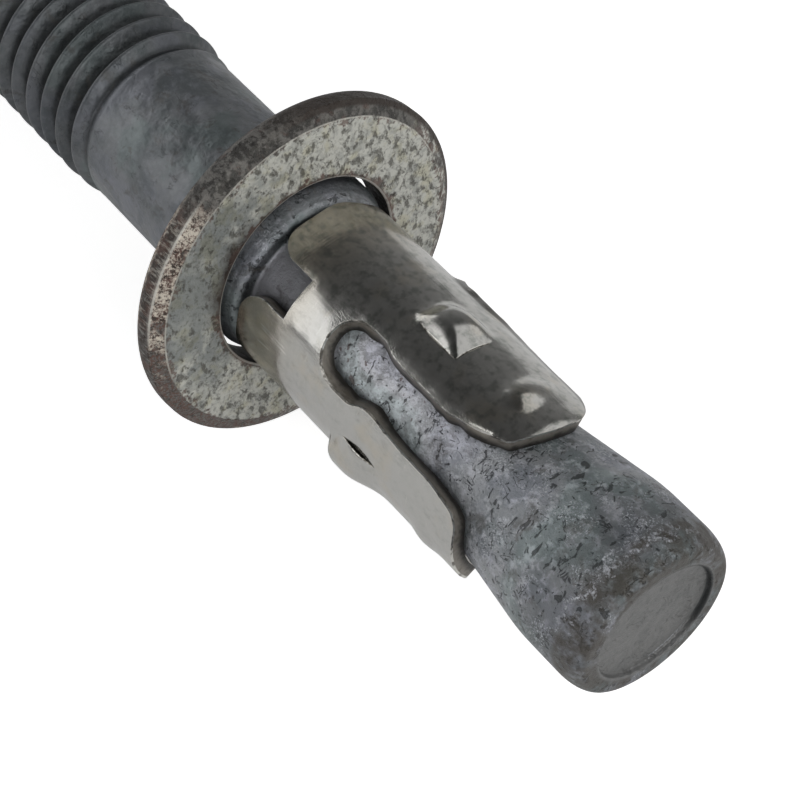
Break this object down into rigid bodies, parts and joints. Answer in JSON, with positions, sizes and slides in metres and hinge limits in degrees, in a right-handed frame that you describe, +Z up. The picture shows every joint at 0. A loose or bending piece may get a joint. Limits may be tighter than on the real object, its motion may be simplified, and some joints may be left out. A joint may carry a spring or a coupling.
{
  "type": "wedge anchor",
  "caption": "Galvanised wedge anchor bolt with a cone end, a barbed expansion clip, a flat washer and a hex nut.",
  "frame": {"origin": "on the bench it lies on, under the middle of the bolt", "axes": "+X out of the cone end, +Z up; the bolt's axis dips 1.8 degrees towards its thread, because its washer is wider than its nut"},
  "size_m": [0.1002, 0.0231, 0.0231],
  "materials": {
    "bolt_steel": "hot-dip galvanised, mottled grey with dark specks",
    "clip_steel": "bare stainless sheet, polished by rolling, with sheared edges",
    "washer_steel": "galvanised, pitted, with rust at its edges",
    "nut_steel": "galvanised"
  },
  "bodies": {
    "bolt": {"anchor_bolt": "bolt_steel"},
    "clip": {"expansion_clip": "clip_steel"},
    "washer": {"washer": "washer_steel"},
    "nut": {"hex_nut": "nut_steel"}
  },
  "joints": [
    {"name": "clip_turn", "type": "hinge", "parent": "bolt", "child": "clip", "pos_m": [0.02999, 0, 0.01187], "axis": [-0.9995, 0, -0.0315], "continuous": true},
    {"name": "washer_slide", "type": "slide", "parent": "bolt", "child": "washer", "axis": [-0.9995, 0, -0.0315], "range_m": [-0.009, 0.013]},
    {"name": "nut_travel", "type": "slide", "parent": "bolt", "child": "nut", "axis": [-0.9995, 0, -0.0315], "range_m": [-0.03675, 0.01225]}
  ]
}
